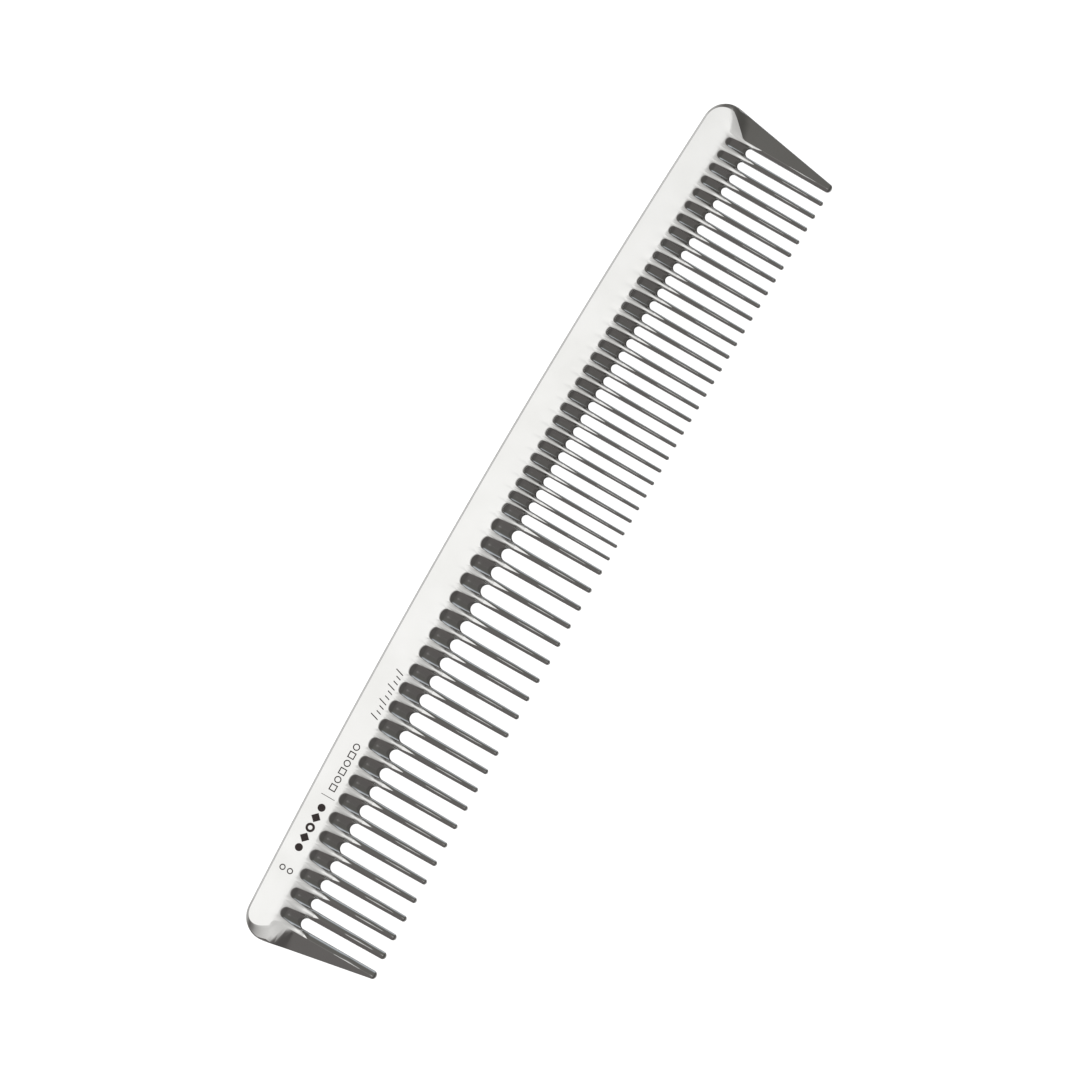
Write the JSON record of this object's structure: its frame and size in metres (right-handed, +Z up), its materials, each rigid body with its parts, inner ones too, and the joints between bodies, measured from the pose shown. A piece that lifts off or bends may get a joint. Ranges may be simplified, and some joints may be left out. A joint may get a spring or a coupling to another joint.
{
  "type": "steel grooming comb",
  "caption": "Flat polished grooming comb: arched spine with scooped faces, a run of wide-pitch teeth, a run of close-pitch teeth and a broad guard tooth at each end.",
  "frame": {"origin": "centre of the underside of the bounding box, on the plane that the spine's lower land rests on", "axes": "+X along the comb from the coarse end to the fine end, +Y from the tooth tips towards the back, +Z up through the thickness"},
  "size_m": [0.1901, 0.0315, 0.0042],
  "materials": {
    "polished_steel": "mirror-polished and plated, with faint fine scratches",
    "ink": "thin matt dark grey-brown print"
  },
  "bodies": {
    "root": {"spine": "polished_steel", "coarse_guard_tooth": "polished_steel", "coarse_tooth_01": "polished_steel", "coarse_tooth_02": "polished_steel", "coarse_tooth_03": "polished_steel", "coarse_tooth_04": "polished_steel", "coarse_tooth_05": "polished_steel", "coarse_tooth_06": "polished_steel", "coarse_tooth_07": "polished_steel", "coarse_tooth_08": "polished_steel", "coarse_tooth_09": "polished_steel", "coarse_tooth_10": "polished_steel", "coarse_tooth_11": "polished_steel", "coarse_tooth_12": "polished_steel", "coarse_tooth_13": "polished_steel", "coarse_tooth_14": "polished_steel", "coarse_tooth_15": "polished_steel", "coarse_tooth_16": "polished_steel", "coarse_tooth_17": "polished_steel", "coarse_tooth_18": "polished_steel", "coarse_tooth_19": "polished_steel", "coarse_tooth_20": "polished_steel", "coarse_tooth_21": "polished_steel", "coarse_tooth_22": "polished_steel", "fine_tooth_01": "polished_steel", "fine_tooth_02": "polished_steel", "fine_tooth_03": "polished_steel", "fine_tooth_04": "polished_steel", "fine_tooth_05": "polished_steel", "fine_tooth_06": "polished_steel", "fine_tooth_07": "polished_steel", "fine_tooth_08": "polished_steel", "fine_tooth_09": "polished_steel", "fine_tooth_10": "polished_steel", "fine_tooth_11": "polished_steel", "fine_tooth_12": "polished_steel", "fine_tooth_13": "polished_steel", "fine_tooth_14": "polished_steel", "fine_tooth_15": "polished_steel", "fine_tooth_16": "polished_steel", "fine_tooth_17": "polished_steel", "fine_tooth_18": "polished_steel", "fine_tooth_19": "polished_steel", "fine_tooth_20": "polished_steel", "fine_tooth_21": "polished_steel", "fine_tooth_22": "polished_steel", "fine_tooth_23": "polished_steel", "fine_tooth_24": "polished_steel", "fine_tooth_25": "polished_steel", "fine_tooth_26": "polished_steel", "fine_tooth_27": "polished_steel", "fine_tooth_28": "polished_steel", "fine_tooth_29": "polished_steel", "fine_guard_tooth": "polished_steel", "printed_marks": "ink"}
  },
  "joints": []
}
